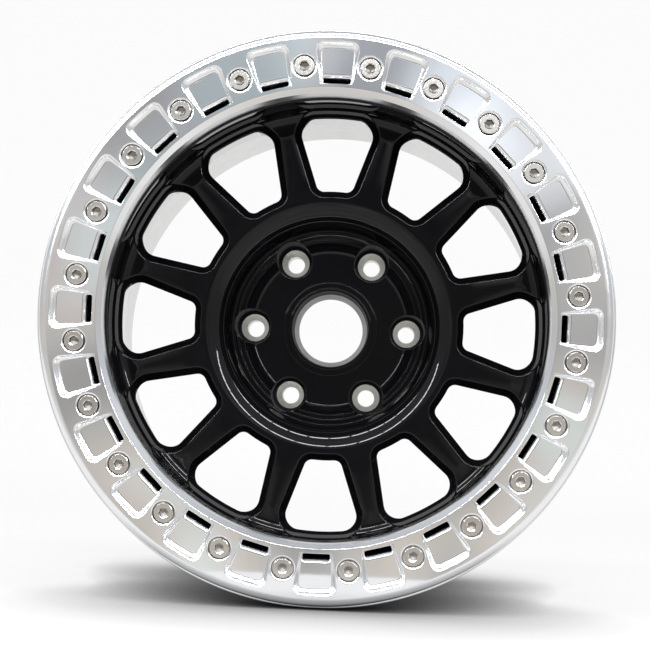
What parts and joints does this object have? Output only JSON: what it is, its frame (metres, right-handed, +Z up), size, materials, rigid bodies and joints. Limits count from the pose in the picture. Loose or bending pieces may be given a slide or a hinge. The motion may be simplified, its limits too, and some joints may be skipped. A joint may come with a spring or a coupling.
{
  "type": "forged wheel",
  "caption": "Forged off-road wheel with straight spokes, a recessed lug pad and a polished clamp ring bolted on to lock the outer tyre bead.",
  "frame": {"origin": "centre of the hub mounting face, on the wheel's axis", "axes": "+Y along the wheel's axis towards the vehicle, the street side faces -Y, +Z up"},
  "size_m": [0.4799, 0.2576, 0.48],
  "materials": {
    "black_paint": "gloss black paint over forged aluminium, bare metal in the lug seats, the centre hole and the barrel's inside",
    "polished_aluminium": "polished",
    "stainless_steel": "satin"
  },
  "bodies": {
    "root": {"forged_wheel": "black_paint", "beadlock_ring": "polished_aluminium", "ring_bolts": "stainless_steel"}
  },
  "joints": []
}
